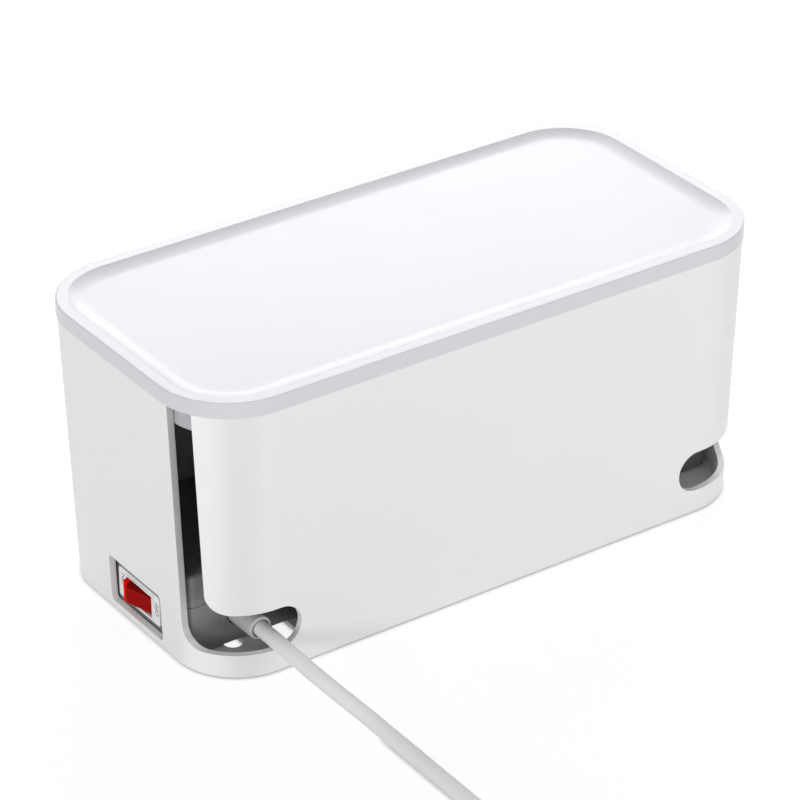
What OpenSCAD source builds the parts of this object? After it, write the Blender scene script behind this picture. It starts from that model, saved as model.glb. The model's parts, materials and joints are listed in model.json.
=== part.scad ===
// Cable management box: a tapered box with a lift-off tray lid and a power strip
// screwed to its floor. X runs along the box, +Z is up, and the origin is on the
// resting plane, below the middle of the box.

/* [Box] */
// Length of the lid, the longest outside size of the box
lid_l = 320; // [300:1:360]
// Width of the lid
lid_w = 154.7; // [146:0.1:190]
// Height from the resting plane to the lid's rim
box_h = 147.6; // [125:0.1:190]
// Radius of the lid's corners in plan
lid_r = 37.9; // [36:0.1:42]
// How far the wall leans in from its rim to its foot
draft = 4.4; // [2:0.1:6]
// Wall thickness at the rim
wall_rim = 3.4; // [2.8:0.1:4.4]
// Wall thickness at the foot
wall_foot = 3.2; // [2.6:0.1:4]
// Thickness of the floor
floor_t = 2; // [1.6:0.1:3]
// How far the rubber feet stand out below the floor
foot_out = 0.6; // [0.3:0.1:1.5]
// Diameter of a rubber foot
foot_d = 12; // [8:0.5:14]

/* [Lid] */
// Height of the lid's outside band
band_h = 8; // [6:0.1:12]
// Step from the lid's edge in to the box wall
lid_overhang = 0.5; // [0:0.1:1.2]
// Width of the flat rim round the tray
rim_w = 5.6; // [4.6:0.1:7]
// Width of the cove between the rim and the tray
cove_w = 9.4; // [6:0.1:11]
// Depth of the tray below the rim
tray_depth = 2; // [1:0.1:3]
// Wall thickness of the lid
lid_t = 2.4; // [1.8:0.1:2.8]
// How far the locating skirt reaches down into the box
skirt_h = 11.2; // [4:0.1:14]
// Gap between the skirt and the box wall
skirt_gap = 0.7; // [0.3:0.05:1]

/* [Cable slots] */
// Width of the slot's upright part
slot_w = 13.3; // [9:0.1:15]
// Distance from the start of the corner to the upright part
slot_offset = 4.95; // [4:0.05:6]
// Height of the slot's level part
lobe_h = 22; // [18:0.5:26]
// Height of the level part's lower edge above the floor's underside
lobe_z = 12.4; // [11:0.1:18]
// Distance from the corner's end to the middle of the round lobe
lobe_reach = 1.9; // [0:0.1:6]
// Radius of the wall's corner between the upright and level parts
curtain_r = 9.5; // [4:0.5:14]

/* [Floor vents] */
// Distance from one vent to the next
vent_pitch = 25.5; // [22:0.25:32]
// Width of a vent
vent_w = 9.2; // [6:0.1:11]
// Width of the spine that divides the vents
spine_w = 12; // [8:1:20]

/* [Power strip] */
// Width of the strip
strip_w = 77; // [70:1:84]
// Distance of the strip's middle from the middle of the box
strip_y = -4.6; // [-6:0.1:-3]
// Height of the strip's housing
strip_h = 42; // [40:0.5:48]
// Height of the lower housing, up to the seam
base_h = 25; // [25:0.5:27]
// Wall thickness of the strip's housings
shell_t = 2.4; // [2:0.1:3]
// Gap between the strip's ends and the box wall
end_gap = 0.9; // [0.5:0.1:1.5]
// Height of the pads that carry the strip
pad_h = 1; // [0.6:0.1:2]
// Number of outlets
outlets = 6; // [3:1:6]
// Distance from one outlet to the next
outlet_pitch = 40; // [38:0.5:42]

/* [Switch] */
// Length of the rocker's face
rocker_l = 20.4; // [18:0.1:22]
// Height of the rocker's face
rocker_w = 11; // [9:0.1:12]
// Tilt of the rocker to each side of its middle
rocker_tilt = 14.5; // [8:0.5:16]
// Length of the switch plate
plate_l = 35.8; // [32:0.1:38]
// Height of the switch plate
plate_w = 15.7; // [15:0.1:18]

/* [Cord] */
// Diameter of the mains cord
cord_d = 7.6; // [7:0.1:8.4]

/* [Hidden] */
$fn = 48;

// Body of the box: every corner of the box and the lid turns about the same four upright lines
corner_x = lid_l / 2 - lid_r;
corner_y = lid_w / 2 - lid_r;
body_z = foot_out;
rim_z = box_h - band_h;
body_h = rim_z - body_z;
r_rim = lid_r - lid_overhang;
r_foot = r_rim - draft;
r_in_rim = r_rim - wall_rim;
r_in_foot = r_foot - wall_foot;
foot_edge_r = 0.8;
floor_fillet = 1.4;
rim_chamfer = 0.8;
floor_top = body_z + floor_t;
function r_in(z) = r_in_foot + (r_in_rim - r_in_foot) * (z - body_z) / body_h;

// Lid
lid_edge_r = 0.7;
cove_steps = 8;
skirt_t = 2;
lid_rib_t = 1.4;
lid_rib_h = 5;
lid_rib_pitch = 48;

// Cable slots
lobe_r = lobe_h / 2;
lobe_mid = body_z + lobe_z + lobe_r;
slot_y = corner_y + slot_offset;

// Vents: how far they reach past the start of the box's corners
vent_reach = 22.5;
short_vent_reach = 8;

// Strip
strip_z = floor_top + pad_h;
strip_end = corner_x + r_in(strip_z) - end_gap;
strip_r = 4;
strip_edge = 1.2;
strip_top = strip_z + strip_h;
seam_z = strip_z + base_h;
strip_front = strip_y - strip_w / 2;
strip_back = strip_y + strip_w / 2;
ceiling_z = strip_top - shell_t;
lip_in = 1.2;
lip_gap = 0.2;
lip_h = 1.4;
seam_groove = 0.5;
screw_d = 3;
screw_hole_d = 3.4;
pilot_d = 2.6;
head_d = 5.6;
head_h = 1.8;
head_room = 0.8;
boss_d = 8;
boss_y = strip_w / 2 - shell_t - boss_d / 2 - 1;
boss_end = strip_end - shell_t - boss_d / 2 - 1;
boss_x = [-boss_end, 22, boss_end];
boss_pocket_h = 12;
housing_screw_l = base_h - boss_pocket_h + 8;
mount_x = vent_pitch * 3.5;
mount_y = 22;
mount_boss_d = 9;
mount_boss_h = 9;
pad_d = 13;
fence_t = 1.8;
fence_l = 12;
fence_h = 4;
fence_gap = 0.3;

// Outlets: two flat slots and a round ground hole, after the common 15 A pattern
first_outlet = 12.6 - 2.5 * outlet_pitch;
blade_gap = 12.7;
ground_gap = 11.9;
hot_slot_l = 7;
neutral_slot_l = 8.4;
slot_t = 2.3;
ground_hole_d = 5.4;
face_l = 34;
face_w = 27;
face_r = 9;
face_out = 0.8;

// Busbars, held between seats on the base and ribs under the cover
bar_t = 0.8;
bar_w = 5;
bar_z = strip_z + 21;
bar_start = first_outlet - 20;
bar_rib_x = -14;
bar_rib_t = 1.6;
bar_rib_w = blade_gap + 18;
clip_h = 12;
clip_l = 9;
clip_gap = 1.5;
clip_t = 0.8;
ground_tube_d = 6.6;

// Switch
pivot_y = strip_y + 1.9;
pivot_z = strip_z + 11.95;
pivot_x = -strip_end + 1.2;
pivot_d = 3;
pivot_gap = 0.12;
face_reach = 5.2;
rocker_gap = 0.35;
rocker_wall = 1.2;
rocker_edge = 1.5;
rocker_bevel = 1.3;
rocker_back_a = 96;
rocker_sweep = norm([face_reach - rocker_edge, rocker_l / 2]);
hub_d = 6.4;
stem_d = 5.6;
stem_l = 7.5;
plate_y = pivot_y + 0.6;
plate_z = pivot_z + 0.1;
plate_t = 1.5;
plate_r = 1.5;
bezel_out = 0.6;
barrel_t = 1;
barrel_depth = 20;
barrel_back_t = 1.8;
barrel_room_l = 2 * (rocker_sweep + rocker_gap);
barrel_room_w = rocker_w + 2 * rocker_gap;
barrel_l = barrel_room_l + 2 * barrel_t;
barrel_w = barrel_room_w + 2 * barrel_t;
barrel_gap = 0.2;
snap_l = 3;
snap_w = 8;
plunger_d = 3.2;
plunger_tip = 10.8;
plunger_l = 7;
spring_wire = 0.4;
spring_turns = 5;
contact_x = pivot_x + 12.6;
contact_tilt = 7;
contact_dish = 2.4;
contact_w = 4;
contact_t = 0.8;
terminal_gap = 7.4;
terminal_t = 0.8;
terminal_w = 4.8;
terminal_out = 7.8;
terminal_end = -strip_end + barrel_depth + terminal_out;
lamp_at = [-6.6, 7.8];
lamp_d = 3.4;
window_y = strip_y + 0.6;
window_z = pivot_z + 1.4;
window_l = plate_l + 9.4;
window_h = plate_w + 9.1;
window_r = 2;

// Strain relief, clamp and wires
cord_x = 26.45 - strip_end;
exit_z = strip_z + 16;
relief_l = 19.4;
relief_d = 12.2;
relief_tip_d = 11.6;
relief_neck = 1.6;
relief_flange = 3.4;
relief_flange_t = 2;
collar_d = 17.6;
collar_out = 1.4;
collar_gap = 0.8;
clamp_y = strip_front + 12;
clamp_screw_x = 9;
clamp_w = 6.4;
clamp_h = 5.6;
clamp_pilot_d = 2.2;
clamp_screw_l = 12;
cord_start = strip_front + 18;
wire_d = 2.6;
wire_out = 2.6;

// Cord: the route's points from the strain relief to the coil and from the coil to the plug, laid by hand
cord_points = [[cord_x, -62.4, 19.6], [-124.6, -74, 19.6], [-124.7, -84, 19.4], [-124.4, -93, 19],
               [-123.8, -101.5, 17.8], [-122.2, -110.5, 15.8], [-120.2, -117.5, 13.4],
               [-118, -124.5, 10.9], [-116, -131, 8.6], [-114.3, -138, 6.6], [-113.1, -146, 5],
               [-112.3, -154, 4.1], [-112.1, -163, 3.8], [-112.2, -181, 3.8], [-112.3, -207, 3.8],
               [-112.4, -235, 3.8], [-112.4, -262, 3.8], [-112.2, -288, 3.8]];
coil_at = [-160, -290];
coil_r = 44;
coil_layers = 3;
coil_edge_r = 2.5;
tie_t = 1;
tie_w = 12;
tail_points = [[-207.8, -290, 11.4], [-207.8, -281, 11.5], [-207.8, -272, 11.8], [-207.8, -265, 11.9],
               [-207.8, -258, 11.9]];
plug_at = [-207.8, -258, 11.9];
plug_relief_l = 22;
plug_body_l = 34;
plug_w = 25;
plug_h = 23;
plug_front = plug_at + [0, plug_relief_l - 1 + plug_body_l, 0];
blade_l = 17.5;
blade_w = 6.4;
blade_t = 1.5;
pin_l = 20;
pin_d = 4.8;
pin_root = 4;
blade_drop = 4;

// ---- shared shapes ------------------------------------------------------------------------

// Points of an arc about a centre, from one angle to another
function arc(c, r, a0, a1, n) = [for (i = [0:n]) let (a = a0 + (a1 - a0) * i / n) c + r * [cos(a), sin(a)]];

// A profile of (distance out, height) taken round the box: four turned corners and four straight
// sides, with a middle block from z0 to z1
module round_the_box(z0, z1) {
    for (sx = [-1, 1], sy = [-1, 1])
        translate([sx * corner_x, sy * corner_y, 0])
            rotate([0, 0, sx > 0 ? (sy > 0 ? 0 : -90) : (sy > 0 ? 90 : 180)])
                rotate_extrude(angle = 90, $fn = 96) children();
    for (a = [0, 180]) {
        rotate([0, 0, a]) translate([corner_x, corner_y, 0]) rotate([90, 0, 0])
            linear_extrude(2 * corner_y) children();
        rotate([0, 0, a]) translate([-corner_x, corner_y, 0]) rotate([90, 0, 90])
            linear_extrude(2 * corner_x) children();
    }
    if (z1 > z0)
        translate([-corner_x, -corner_y, z0]) cube([2 * corner_x, 2 * corner_y, z1 - z0]);
}

// A rounded rectangle in plan, centred
module rounded_plan(l, w, r) {
    for (sx = [-1, 1], sy = [-1, 1])
        translate([sx * (l / 2 - r), sy * (w / 2 - r)]) circle(r);
    square([l - 2 * r, w], center = true);
    square([l, w - 2 * r], center = true);
}

// A straight slot with round ends along Y, centred
module slot_plan(w, l) {
    translate([0, l / 2 - w / 2]) circle(d = w);
    translate([0, w / 2 - l / 2]) circle(d = w);
    square([w, l - w], center = true);
}

// Unit vector and cross product
function unit(v) = v / norm(v);

// Direction of a route at point i
function heading(p, i) = unit(p[min(i + 1, len(p) - 1)] - p[max(i - 1, 0)]);

// A tube of a given diameter swept along a route's points
module swept(p, d, sides = 10) {
    n = len(p);
    ring = [for (i = [0:n - 1])
        let (t = heading(p, i), up = abs(t[2]) > 0.9 ? [1, 0, 0] : [0, 0, 1],
             a = unit(cross(t, up)), b = cross(t, a))
        for (k = [0:sides - 1]) p[i] + d / 2 * (cos(360 * k / sides) * a + sin(360 * k / sides) * b)];
    side = [for (i = [0:n - 2], k = [0:sides - 1])
        let (a = i * sides + k, b = i * sides + (k + 1) % sides)
            each [[a, b + sides, b], [a, a + sides, b + sides]]];
    start_cap = [for (k = [0:sides - 1]) k];
    end_cap = [for (k = [0:sides - 1]) n * sides - 1 - k];
    polyhedron(ring, concat(side, [start_cap, end_cap]), convexity = 4);
}

// A countersunk-free pan screw pointing up, its head's underside at z = 0
module pan_screw(l) {
    translate([0, 0, -head_h]) difference() {
        cylinder(h = head_h, d = head_d);
        translate([0, 0, -1]) for (a = [0, 90]) rotate([0, 0, a])
            translate([-1.6, -0.4, 0]) cube([3.2, 0.8, 2]);
    }
    cylinder(h = l, d = screw_d);
}

// ---- box ----------------------------------------------------------------------------------

// Profile of the wall and floor, from the corner line outwards
module body_profile() {
    polygon(concat(
        [[0, body_z]],
        arc([r_foot - foot_edge_r, body_z + foot_edge_r], foot_edge_r, -90, 0, 3),
        [[r_rim, rim_z], [r_in_rim + rim_chamfer, rim_z], [r_in_rim, rim_z - rim_chamfer]],
        arc([r_in(floor_top + floor_fillet) - floor_fillet, floor_top + floor_fillet], floor_fillet, 0, -90, 3),
        [[0, floor_top]]));
}

// One J-shaped cable slot, cut through the wall round the corner at -X, -Y
module cable_slot() {
    reach = 3 * lid_r;
    low = lobe_mid - lobe_r;
    high = lobe_mid + lobe_r;
    in_x = corner_x - lobe_reach;
    rounding_y = slot_y + lobe_r;
    // upright part and the corner under it, cut along X
    translate([-corner_x - reach, 0, 0]) {
        translate([0, -slot_y - slot_w, lobe_mid]) cube([reach - 6, slot_w, box_h]);
        translate([0, -rounding_y, lobe_mid]) rotate([0, 90, 0]) cylinder(h = reach - 6, r = lobe_r);
        translate([0, -rounding_y - reach, low]) cube([reach - 6, reach, lobe_h]);
        difference() {
            translate([0, -slot_y - slot_w - curtain_r, high - 1]) cube([reach - 6, curtain_r + 1, curtain_r + 1]);
            translate([-1, -slot_y - slot_w - curtain_r, high + curtain_r]) rotate([0, 90, 0])
                cylinder(h = reach, r = curtain_r);
        }
    }
    // level part and its round end, cut along Y
    translate([-in_x - reach, -rounding_y - reach, low]) cube([reach, reach, lobe_h]);
    translate([-in_x, -corner_y - 4, lobe_mid]) rotate([90, 0, 0]) cylinder(h = reach, r = lobe_r);
}

// Window in the left end, in front of the switch plate
module switch_window() {
    translate([-corner_x - 2 * lid_r, window_y, window_z]) rotate([0, 90, 0])
        linear_extrude(2 * lid_r) rounded_plan(window_h, window_l, window_r);
}

// Where the strip's mounting screws stand
module at_mounts() {
    for (sx = [-1, 1], sy = [-1, 1])
        translate([sx * mount_x, strip_y + sy * mount_y, 0]) children();
}

// Two rows of vents, shorter at the box's ends
module vents() {
    rows = floor(corner_x / vent_pitch + 0.3);
    for (i = [-rows:rows]) {
        last = corner_y + (abs(i) == rows ? short_vent_reach : vent_reach);
        for (s = [-1, 1]) {
            y0 = spine_w / 2 + s * strip_y;
            translate([i * vent_pitch, s * (y0 + last) / 2, body_z - 1])
                linear_extrude(floor_t + 2) slot_plan(vent_w, last - y0);
        }
    }
}

module box_body() {
    color("whitesmoke") difference() {
        union() {
            round_the_box(body_z, floor_top) body_profile();
            // pads that carry the strip over the floor
            at_mounts() translate([0, 0, floor_top - 0.5]) cylinder(h = pad_h + 0.5, d = pad_d);
            // low fences that place the strip's long sides
            for (sx = [-1, 1], y = [strip_front - fence_gap - fence_t, strip_back + fence_gap])
                translate([sx * vent_pitch * 2.5 - fence_l / 2, y, floor_top - 0.5])
                    cube([fence_l, fence_t, fence_h + 0.5]);
        }
        cable_slot();
        mirror([1, 0, 0]) cable_slot();
        switch_window();
        vents();
        at_mounts() {
            translate([0, 0, -1]) cylinder(h = floor_top + pad_h + 2, d = screw_hole_d);
            translate([0, 0, -1]) cylinder(h = floor_top + 1, d = head_d + head_room);
        }
        at_feet() translate([0, 0, body_z - 1]) cylinder(h = 1.4, d = foot_d + 0.4);
    }
}

// Where the four feet sit, in the corners outside the vents
module at_feet() {
    for (sx = [-1, 1], sy = [-1, 1])
        translate([sx * (corner_x + 15), sy * (corner_y + 15), 0]) children();
}

module rubber_feet() {
    color("dimgray") at_feet() {
        cylinder(h = 0.2, d1 = foot_d - 0.4, d2 = foot_d);
        translate([0, 0, 0.2]) cylinder(h = body_z + 0.4 - 0.2, d = foot_d);
    }
}

// Profile of the lid from the corner line outwards: tray, cove, rim, band and skirt
module lid_profile() {
    cove_out = lid_r - rim_w;
    cove_in = cove_out - cove_w;
    skirt_out = r_in(rim_z) - skirt_gap;
    under = box_h - tray_depth - lid_t;
    polygon(concat(
        [[0, box_h - tray_depth]],
        [for (i = [0:cove_steps]) let (u = i / cove_steps)
            [cove_in + u * cove_w, box_h - tray_depth * (1 - u * u)]],
        arc([lid_r - lid_edge_r, box_h - lid_edge_r], lid_edge_r, 90, 0, 4),
        [[lid_r, rim_z + 0.2], [lid_r - 0.2, rim_z], [lid_r - lid_t, rim_z], [lid_r - lid_t, box_h - lid_t]],
        [[skirt_out, box_h - lid_t], [skirt_out, rim_z - skirt_h + 1], [skirt_out - 0.6, rim_z - skirt_h]],
        [[skirt_out - skirt_t, rim_z - skirt_h], [skirt_out - skirt_t, under], [0, under]]));
}

module lid() {
    under = box_h - tray_depth - lid_t;
    half_w = corner_y + r_in(rim_z) - skirt_gap - skirt_t + 0.5;
    count = floor((corner_x - 6) / lid_rib_pitch);
    color("white") {
        round_the_box(under, box_h - tray_depth) lid_profile();
        // stiffening ribs under the tray
        for (i = [-count:count])
            translate([i * lid_rib_pitch - lid_rib_t / 2, -half_w, under - lid_rib_h])
                cube([lid_rib_t, 2 * half_w, lid_rib_h + 0.5]);
        for (s = [-1, 1])
            translate([-corner_x, s * corner_y / 2 - lid_rib_t / 2, under - lid_rib_h])
                cube([2 * corner_x, lid_rib_t, lid_rib_h + 0.5]);
    }
}

// ---- power strip --------------------------------------------------------------------------

// Outline of the strip, grown or shrunk by d
module strip_plan(d = 0) {
    translate([0, strip_y]) rounded_plan(2 * (strip_end + d), strip_w + 2 * d, strip_r + d);
}

// Where the screws that join the housings stand
module at_bosses() {
    for (x = boss_x, s = [-1, 1])
        translate([x, strip_y + s * boss_y, 0]) children();
}

// Place of each outlet, its blade slots across the strip and its ground hole towards +X
module at_outlets() {
    for (i = [0:outlets - 1])
        translate([first_outlet + i * outlet_pitch, strip_y, 0]) children();
}

// Where the two screws of the cord clamp stand
module at_clamp_screws() {
    for (s = [-1, 1])
        translate([cord_x + s * clamp_screw_x, clamp_y, 0]) children();
}

// A round bar along the cord's line, from one distance across the box to another
module along_cord(y0, y1, d) {
    translate([cord_x, y0, exit_z]) rotate([-90, 0, 0]) cylinder(h = y1 - y0, d = d);
}

module strip_base() {
    plinth_h = exit_z - strip_z - 1;
    color("lightgray") difference() {
        union() {
            difference() {
                translate([0, 0, strip_z]) linear_extrude(base_h) strip_plan();
                translate([0, 0, strip_z + shell_t]) linear_extrude(base_h) strip_plan(-shell_t);
            }
            // bosses of the housing screws and of the mounting screws
            at_bosses() translate([0, 0, strip_z + 1]) cylinder(h = base_h - 1 - lip_h, d = boss_d);
            at_mounts() translate([0, 0, strip_z + 1]) cylinder(h = mount_boss_h - 1, d = mount_boss_d);
            // collar round the strain relief
            along_cord(strip_front - collar_out, strip_front + 1, collar_d);
            // seats that carry the busbars
            at_outlets() translate([bar_rib_x, -bar_rib_w / 2, strip_z + 1])
                cube([bar_rib_t, bar_rib_w, bar_z - bar_t - strip_z - 1]);
            // plinths of the cord clamp and the cord's saddle between them
            at_clamp_screws() translate([0, 0, strip_z + 1]) cylinder(h = plinth_h, d = clamp_w);
            translate([cord_x - 5, clamp_y - clamp_w / 2, strip_z + 1]) cube([10, clamp_w, plinth_h - cord_d / 4]);
        }
        // step for the cover's lip
        translate([0, 0, seam_z - lip_h - lip_gap]) linear_extrude(base_h) strip_plan(lip_gap - lip_in);
        // opening for the barrel of the switch
        translate([-strip_end - 1, pivot_y - barrel_l / 2 - barrel_gap, pivot_z - barrel_w / 2 - barrel_gap])
            cube([shell_t + 2, barrel_l + 2 * barrel_gap, barrel_w + 2 * barrel_gap]);
        along_cord(strip_front - collar_out - 1, strip_front, relief_d + 2 * collar_gap);
        along_cord(strip_front - 1, strip_front + shell_t + 1, cord_d + 2 * relief_neck + 0.2);
        along_cord(clamp_y - clamp_w, clamp_y + clamp_w, cord_d);
        at_bosses() {
            translate([0, 0, strip_z - 1]) cylinder(h = base_h + 2, d = screw_hole_d);
            translate([0, 0, strip_z - 1]) cylinder(h = boss_pocket_h + 1, d = head_d + head_room);
        }
        at_mounts() translate([0, 0, strip_z - 1]) cylinder(h = mount_boss_h, d = pilot_d);
        at_clamp_screws() translate([0, 0, exit_z - clamp_screw_l]) cylinder(h = clamp_screw_l + 1, d = clamp_pilot_d);
    }
}

module outlet_slots() {
    depth = shell_t + 2 * face_out;
    translate([-hot_slot_l / 2, blade_gap / 2 - slot_t / 2, 0]) cube([hot_slot_l, slot_t, depth + 1]);
    translate([-neutral_slot_l / 2, -blade_gap / 2 - slot_t / 2, 0]) cube([neutral_slot_l, slot_t, depth + 1]);
    translate([ground_gap, 0, 0]) cylinder(h = depth + 1, d = ground_hole_d);
}

module strip_cover() {
    // insets of the rounded top edge, from its foot up
    insets = strip_edge / 12 * [1, 3, 6, 11];
    step = strip_edge / len(insets);
    color("gainsboro") difference() {
        union() {
            difference() {
                union() {
                    translate([0, 0, seam_z]) linear_extrude(seam_groove) strip_plan(-seam_groove);
                    translate([0, 0, seam_z + seam_groove])
                        linear_extrude(strip_top - strip_edge - seam_z - seam_groove) strip_plan();
                    for (k = [0:len(insets) - 1])
                        translate([0, 0, strip_top - strip_edge + k * step]) linear_extrude(step)
                            strip_plan(-insets[k]);
                    translate([0, 0, seam_z - lip_h]) linear_extrude(lip_h + 1) strip_plan(-lip_in);
                }
                translate([0, 0, seam_z - lip_h - 1]) linear_extrude(ceiling_z - seam_z + lip_h + 1)
                    strip_plan(-shell_t);
            }
            at_bosses() translate([0, 0, seam_z - lip_h + lip_gap])
                cylinder(h = ceiling_z - seam_z + lip_h, d = boss_d);
            // ribs that hold the busbars down
            at_outlets() translate([bar_rib_x, -bar_rib_w / 2, bar_z])
                cube([bar_rib_t, bar_rib_w, ceiling_z - bar_z + 0.5]);
            at_outlets() translate([ground_gap / 2 - 1.4, 0, strip_top - 0.6])
                linear_extrude(face_out + 0.6) rounded_plan(face_l, face_w, face_r);
        }
        at_bosses() translate([0, 0, seam_z - lip_h])
            cylinder(h = housing_screw_l + boss_pocket_h - base_h + lip_h + 1, d = pilot_d);
        at_outlets() translate([0, 0, ceiling_z - 1]) outlet_slots();
    }
}

module strip_screws() {
    color("silver") at_mounts() translate([0, 0, floor_top]) pan_screw(pad_h + mount_boss_h - 1.6);
}

module housing_screws() {
    color("silver") at_bosses() translate([0, 0, strip_z + boss_pocket_h]) pan_screw(housing_screw_l);
}

// ---- switch -------------------------------------------------------------------------------

// Place of the rocker's pivot, with its own X pointing out of the box's end and Y along the plate
module at_pivot() {
    translate([pivot_x, pivot_y, pivot_z]) mirror([1, 0, 0]) children();
}

// The tilt at which the rocker rests: OFF, its -Y end pressed in
module at_rocker() {
    at_pivot() rotate([0, 0, -rocker_tilt]) children();
}

// Socket of the lamp on a wall of the barrel
module lamp_socket() {
    difference() {
        cylinder(h = 1.7, d = lamp_d + 1.6);
        translate([0, 0, 0.5]) cylinder(h = 2, d = lamp_d);
    }
}

module switch_frame() {
    front = -strip_end - plate_t;
    color("whitesmoke") difference() {
        union() {
            difference() {
                union() {
                    // plate on the strip's end, and the bezel round the rocker
                    translate([front, plate_y, plate_z]) rotate([0, 90, 0])
                        linear_extrude(plate_t) rounded_plan(plate_w, plate_l, plate_r);
                    translate([front - bezel_out, pivot_y - barrel_l / 2, pivot_z - barrel_w / 2])
                        cube([bezel_out + barrel_depth + plate_t, barrel_l, barrel_w]);
                    // snap wedges behind the strip's wall
                    for (s = [0, 1])
                        translate([-strip_end + shell_t + 0.1, pivot_y + snap_w / 2, pivot_z]) mirror([0, 0, s])
                            translate([0, 0, barrel_w / 2]) rotate([90, 0, 0])
                                linear_extrude(snap_w) polygon([[0, -0.5], [0, 0.8], [snap_l, 0], [snap_l, -0.5]]);
                }
                translate([front - bezel_out - 1, pivot_y - barrel_room_l / 2, pivot_z - barrel_room_w / 2])
                    cube([bezel_out + 1 + plate_t + barrel_depth - barrel_back_t, barrel_room_l, barrel_room_w]);
            }
            // sockets of the lamp
            at_pivot() for (s = [0, 1])
                mirror([0, 0, s]) translate([lamp_at[0], lamp_at[1], -barrel_room_w / 2 - 0.5]) lamp_socket();
        }
        // holes of the rocker's pivot
        translate([pivot_x, pivot_y, pivot_z - barrel_w / 2 - 1]) cylinder(h = barrel_w + 2, d = pivot_d + 2 * pivot_gap);
        // slots that the terminals are pressed into
        for (i = [-1:1])
            translate([terminal_end - terminal_out - barrel_back_t - 1, pivot_y + i * terminal_gap - terminal_t / 2,
                       pivot_z - terminal_w / 2])
                cube([barrel_back_t + 2, terminal_t, terminal_w]);
    }
}

module switch_rocker() {
    half = rocker_l / 2;
    a0 = atan2(half, face_reach - rocker_edge);
    color("red") at_rocker() difference() {
        union() {
            translate([0, 0, -rocker_w / 2]) linear_extrude(rocker_w) polygon(concat(
                [[face_reach, half - rocker_edge], [face_reach, rocker_edge - half]],
                arc([0, 0], rocker_sweep, -a0, -rocker_back_a, 6),
                arc([0, 0], rocker_sweep, rocker_back_a, a0, 6)));
            translate([0, 0, -rocker_w / 2]) cylinder(h = rocker_w, d = hub_d);
            translate([0, 0, barrel_gap - barrel_w / 2]) cylinder(h = barrel_w - 2 * barrel_gap, d = pivot_d);
            translate([-stem_l, 0, 0]) rotate([0, 90, 0]) cylinder(h = stem_l + 1, d = stem_d);
        }
        // bevels along the face's top and bottom edges
        for (s = [-1, 1]) translate([face_reach, 0, s * rocker_w / 2]) rotate([0, 45, 0])
            cube([rocker_bevel * sqrt(2), rocker_l, rocker_bevel * sqrt(2)], center = true);
        // hollow behind the face, on both sides of the hub
        for (s = [0, 1]) mirror([0, s, 0])
            translate([-face_reach, hub_d / 2, rocker_wall - rocker_w / 2])
                cube([2 * face_reach - rocker_bevel - rocker_wall, half - hub_d / 2 - 2 * rocker_wall,
                    rocker_w - 2 * rocker_wall]);
        // bore of the plunger
        translate([-stem_l - 1, 0, 0]) rotate([0, 90, 0]) cylinder(h = stem_l + 1 + 2.5, d = plunger_d + 0.4);
    }
}

module switch_plunger() {
    color("ivory") at_rocker() translate([-plunger_tip, 0, 0]) {
        sphere(d = plunger_d);
        rotate([0, 90, 0]) cylinder(h = plunger_l, d = plunger_d);
    }
}

// Spring between the plunger and the end of its bore
module switch_spring() {
    steps = 10;
    start = plunger_l - plunger_tip + spring_wire / 2;
    length = 2.5 - start - spring_wire / 2;
    r = plunger_d / 2 - spring_wire / 2 - 0.05;
    helix = [for (i = [0:spring_turns * steps]) let (a = 360 * i / steps)
        [start + length * i / (spring_turns * steps), r * cos(a), r * sin(a)]];
    color("silver") at_rocker() swept(helix, spring_wire, 6);
}

// See-saw contact, tipped the other way from the rocker
module switch_contact() {
    wing = terminal_gap + 1.4;
    dish = contact_dish;
    t = contact_t;
    color("goldenrod") translate([contact_x, pivot_y, pivot_z]) rotate([0, 0, -contact_tilt]) {
        translate([0, 0, -contact_w / 2]) linear_extrude(contact_w) polygon([
            [-dish, -wing], [t - dish, -wing], [t, -0.6], [t, 0.6], [t - dish, wing], [-dish, wing],
            [0, 0.6], [0, -0.6]]);
        for (s = [-1, 1])
            translate([-1.9, s * terminal_gap, 0]) rotate([0, 90, 0]) cylinder(h = 1.7, d = 2.4);
    }
}

module switch_terminals() {
    front = contact_x + 1.05;
    color("goldenrod") for (i = [-1:1])
        translate([front, pivot_y + i * terminal_gap - terminal_t / 2, pivot_z - terminal_w / 2])
            difference() {
                cube([terminal_end - front, terminal_t, terminal_w]);
                // solder eye
                translate([terminal_end - front - 5.4, -1, terminal_w / 2]) rotate([-90, 0, 0])
                    cylinder(h = 3, d = 1.6);
            }
}

// Glow lamp in the barrel, between its two sockets
module neon_lamp() {
    half = barrel_room_w / 2;
    color("orange") at_pivot() translate([lamp_at[0], lamp_at[1], 0]) rotate_extrude()
        polygon([[0, -half], [lamp_d / 2 - 0.6, -half], [lamp_d / 2, 0.6 - half],
                 [lamp_d / 2, half - 0.6], [lamp_d / 2 - 0.6, half], [0, half]]);
}

// ---- busbars ------------------------------------------------------------------------------

// Contact clip: two leaves that pinch a flat blade, along X and open upwards
module clip(l) {
    foot = bar_w / 2;
    pinch_z = clip_h - 2;
    shoulder_z = clip_h - 4;
    // one leaf from the foot up to its flared mouth
    outside = [[foot, 0], [foot, shoulder_z], [clip_gap / 2 + clip_t, pinch_z], [clip_gap / 2 + 1.5, clip_h]];
    inside = [[clip_gap / 2 + 0.7, clip_h], [clip_gap / 2, pinch_z], [foot - clip_t, shoulder_z], [foot - clip_t, bar_t]];
    half = concat(outside, inside);
    translate([-l / 2, 0, 0]) rotate([90, 0, 90]) linear_extrude(l)
        polygon(concat(half, [for (i = [len(half) - 1:-1:0]) [-half[i][0], half[i][1]]]));
}

// Flat rail along the strip, its middle at height y across it
module rail(y, w, end) {
    last = first_outlet + (outlets - 1) * outlet_pitch + end;
    translate([bar_start, strip_y + y - w / 2, bar_z - bar_t]) cube([last - bar_start, w, bar_t]);
}

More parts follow.
